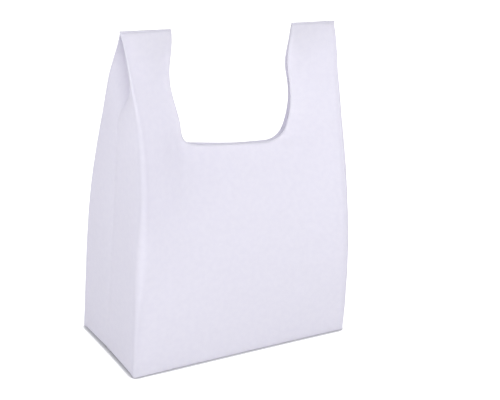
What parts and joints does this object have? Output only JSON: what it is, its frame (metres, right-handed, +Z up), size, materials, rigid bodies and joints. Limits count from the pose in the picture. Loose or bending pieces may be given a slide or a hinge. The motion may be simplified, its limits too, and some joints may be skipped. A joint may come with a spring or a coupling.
{
  "type": "non-woven carrier bag",
  "caption": "Plain white spunbond carrier bag with creased side gussets, a round-cornered mouth and welded strap handles, standing open on a flat base.",
  "frame": {"origin": "middle of the base, on the surface that the bag stands on", "axes": "+X along the panels to the right as seen from the front, +Y to the back, +Z up to the handle tops"},
  "size_m": [0.3033, 0.1494, 0.392],
  "materials": {
    "spunbond": "matte white spunbond, point-bonded"
  },
  "bodies": {
    "root": {"carrier_bag": "spunbond"}
  },
  "joints": []
}
